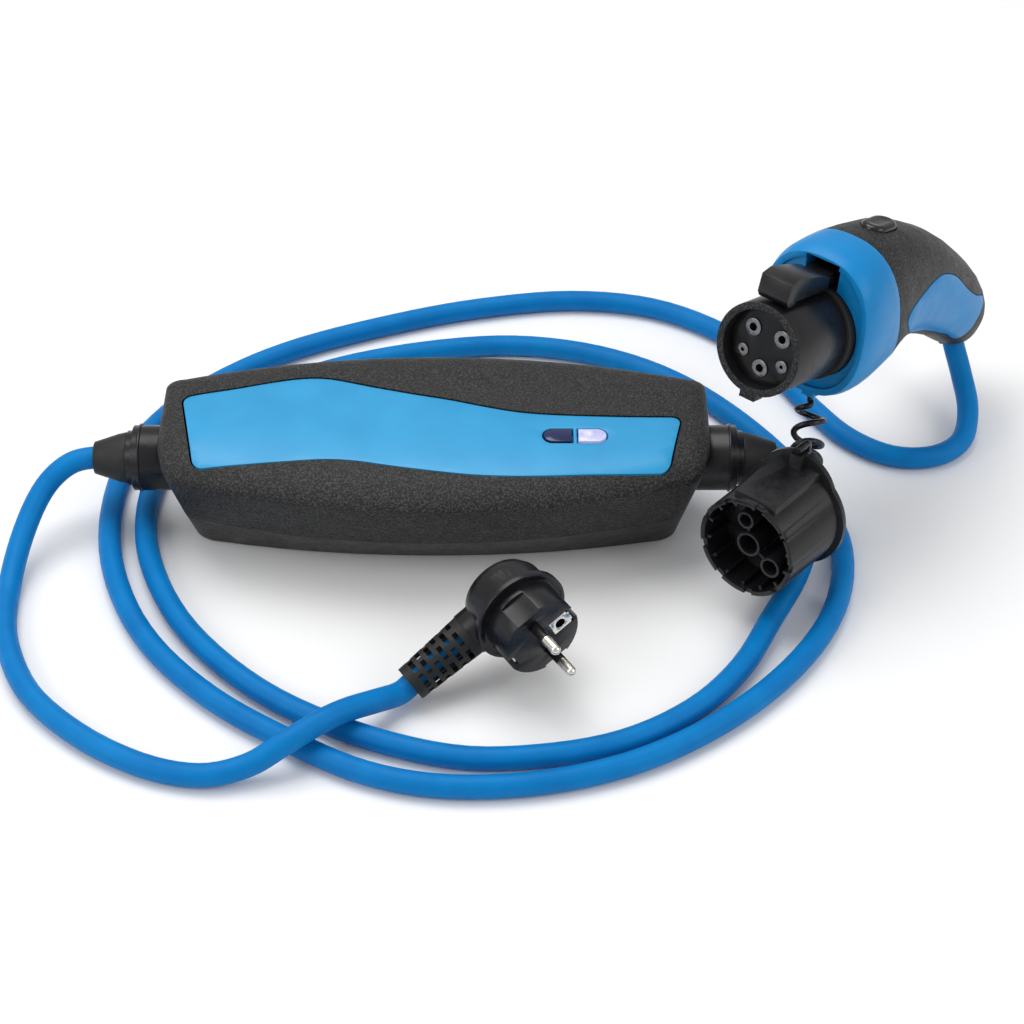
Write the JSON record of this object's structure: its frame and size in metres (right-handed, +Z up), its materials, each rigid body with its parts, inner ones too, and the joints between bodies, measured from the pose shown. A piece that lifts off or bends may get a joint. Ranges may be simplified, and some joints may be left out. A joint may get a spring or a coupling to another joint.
{
  "type": "portable ev charger",
  "caption": "Portable electric-car charging lead: flat control box with status lights, short lead with an angled earthed plug, long coiled lead with a latching vehicle connector and dust cap.",
  "frame": {"origin": "middle of the control box's foot, on the surface that it lies on", "axes": "+X along the box towards the vehicle lead, +Z up out of the blue panel"},
  "size_m": [0.4793, 0.3708, 0.1543],
  "materials": {
    "black_grain": "coarse moulded grain",
    "smooth_black": "satin moulded plastic",
    "black_rubber": "soft matte rubber",
    "panel_blue": "satin blue plastic",
    "cable_blue": "satin blue cable sheath",
    "nickel": "bright nickel plate",
    "contact_silver": "silver plate",
    "window_dark": "dark blue light window",
    "window_lit": "lit white light window",
    "board_green": "solder resist",
    "terminal_green": "moulded terminal block"
  },
  "bodies": {
    "root": {"upper_housing": "black_grain", "base_cover": "black_grain", "housing_seal": "black_rubber", "cover_screws": "nickel", "front_panel": "panel_blue", "status_window_left": "window_dark", "status_window_right": "window_lit", "control_board": "board_green", "mains_relays": "smooth_black", "current_sensor": "smooth_black", "terminal_blocks": "terminal_green", "gland_left": "smooth_black", "gland_right": "smooth_black", "gland_boot_left": "black_rubber", "gland_boot_right": "black_rubber", "mains_lead": "cable_blue", "vehicle_lead": "cable_blue", "lanyard": "black_rubber", "plug_body": "smooth_black", "plug_face": "smooth_black", "plug_pins": "nickel", "plug_earth_contacts": "nickel", "plug_boot": "black_rubber", "nose": "smooth_black", "contact_carrier": "smooth_black", "power_contacts": "contact_silver", "signal_contacts": "contact_silver", "nose_seal": "black_rubber", "front_shell": "panel_blue", "grip_shell": "black_grain", "grip_inlay_left": "panel_blue", "grip_inlay_right": "panel_blue", "latch_pin": "nickel", "latch_spring": "nickel", "connector_boot": "black_rubber", "dust_cap": "smooth_black"},
    "latch": {"latch_lever": "smooth_black"},
    "button": {"release_button": "smooth_black"}
  },
  "joints": [
    {"name": "latch_hinge", "type": "hinge", "parent": "root", "child": "latch", "pos_m": [0.18899, 0.02323, 0.13203], "axis": [-0.766, 0.6428, 0], "range_deg": [0, 7], "stiffness_Nm_per_rad": 0.6, "deforming": ["latch_spring"]},
    {"name": "button_press", "type": "slide", "parent": "root", "child": "button", "axis": [-0.1664, -0.1983, -0.9659], "range_m": [0, 0.0026]}
  ],
  "couplings": [
    {"joint": "button_press", "follows": "latch_hinge", "m_per_rad": 0.0205}
  ]
}
